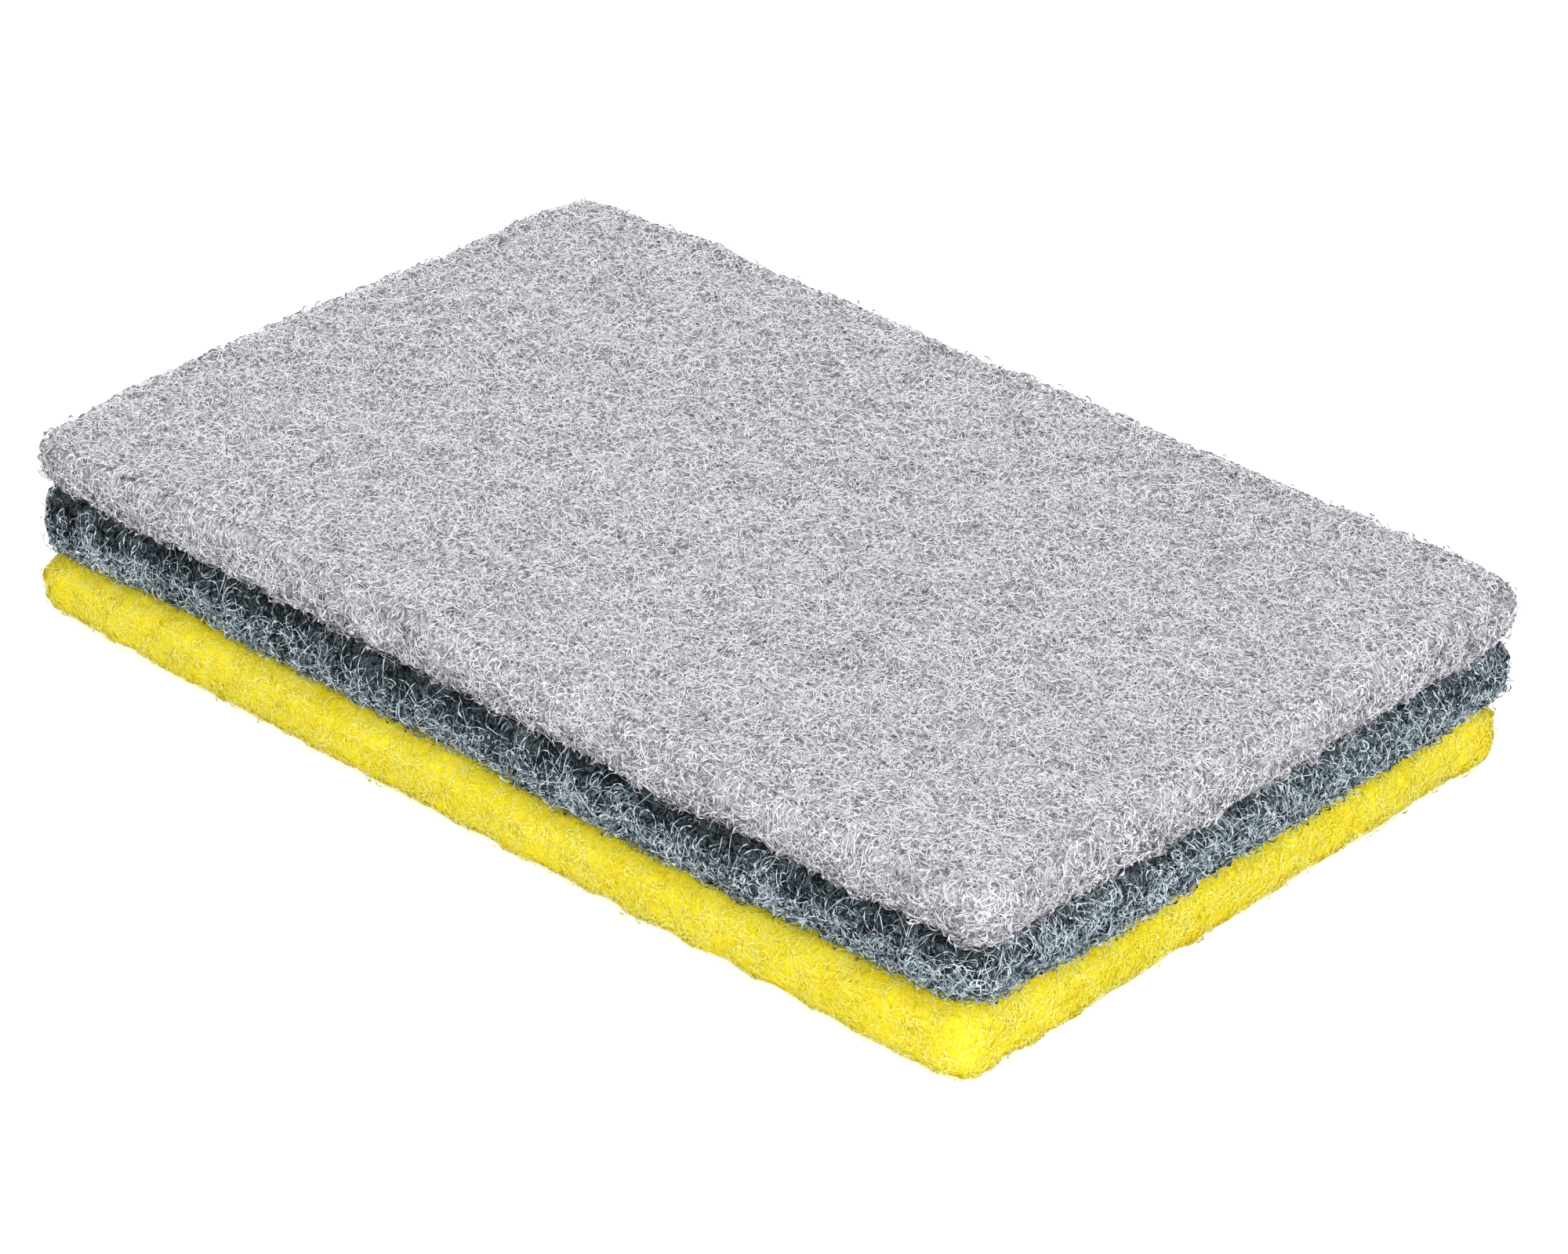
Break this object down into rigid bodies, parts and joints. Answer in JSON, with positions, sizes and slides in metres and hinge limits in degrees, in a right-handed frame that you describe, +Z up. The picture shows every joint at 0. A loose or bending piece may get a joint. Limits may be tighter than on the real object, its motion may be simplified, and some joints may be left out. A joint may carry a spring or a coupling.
{
  "type": "cleaning sponge",
  "caption": "Oblong cleaning sponge of layered non-woven fibre web, with soft rounded edges, for scouring and wiping surfaces.",
  "frame": {"origin": "middle of the footprint, on the surface that the sponge rests on", "axes": "+X along the long side, +Y across the width, +Z up through the layers"},
  "size_m": [0.1528, 0.101, 0.0252],
  "materials": {
    "grey_web": "matt curled fibres",
    "slate_web": "matt curled fibres",
    "yellow_web": "matt curled fibres"
  },
  "bodies": {
    "root": {"grey_scrub_layer": "grey_web", "slate_scrub_layer": "slate_web", "yellow_scrub_layer": "yellow_web"}
  },
  "joints": []
}
